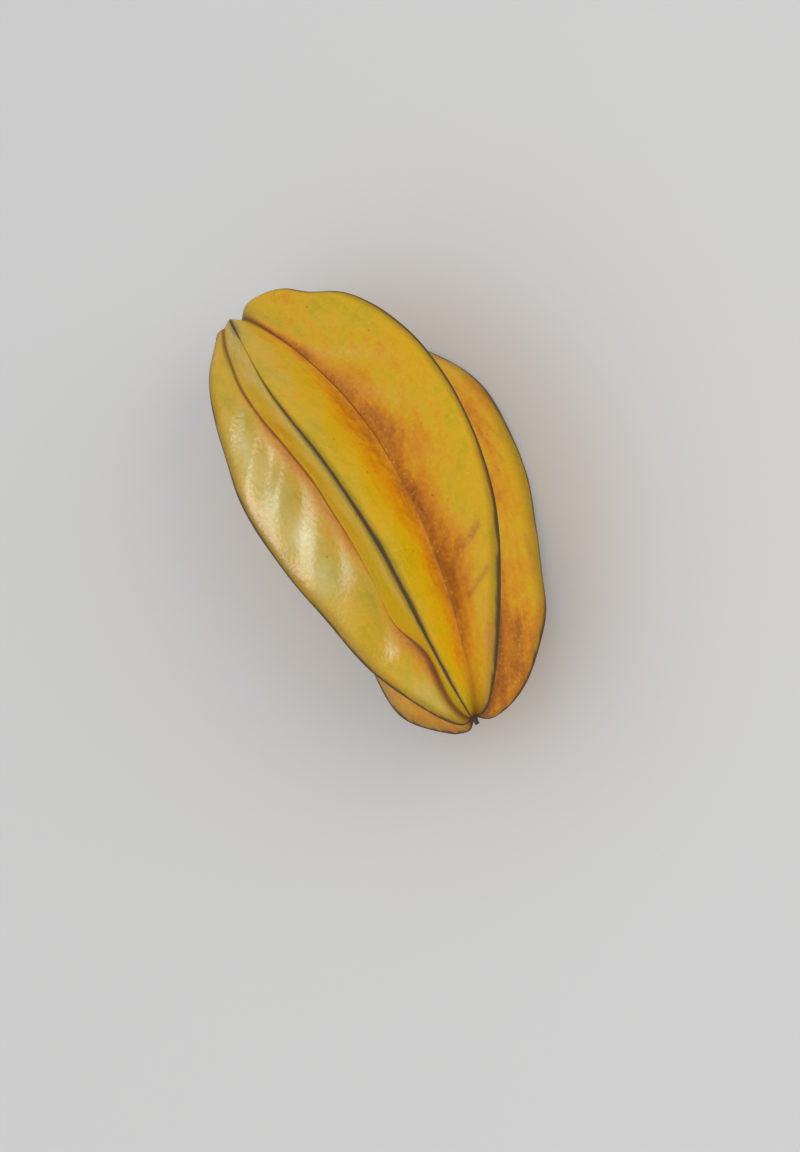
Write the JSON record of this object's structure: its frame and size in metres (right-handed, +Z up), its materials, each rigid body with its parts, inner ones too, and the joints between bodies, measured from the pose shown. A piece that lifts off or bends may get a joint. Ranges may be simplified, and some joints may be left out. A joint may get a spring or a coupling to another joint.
{
  "type": "star fruit",
  "caption": "Ripe whole star fruit lying on its side, with tall rounded ribs, deep valleys, a corky stalk scar and a withered style at its apex.",
  "frame": {"origin": "on the surface the fruit rests on, under the middle of its bounding box", "axes": "+X along the fruit from its stem end to its apex, +Z up, +Y level, towards the broad rib"},
  "size_m": [0.1168, 0.0584, 0.0508],
  "materials": {
    "ripe_skin": "satin",
    "dry_cork": "matte",
    "withered_style": "matte"
  },
  "bodies": {
    "root": {"fruit": "ripe_skin", "stalk_scar": "dry_cork", "style_remnant": "withered_style"}
  },
  "joints": []
}
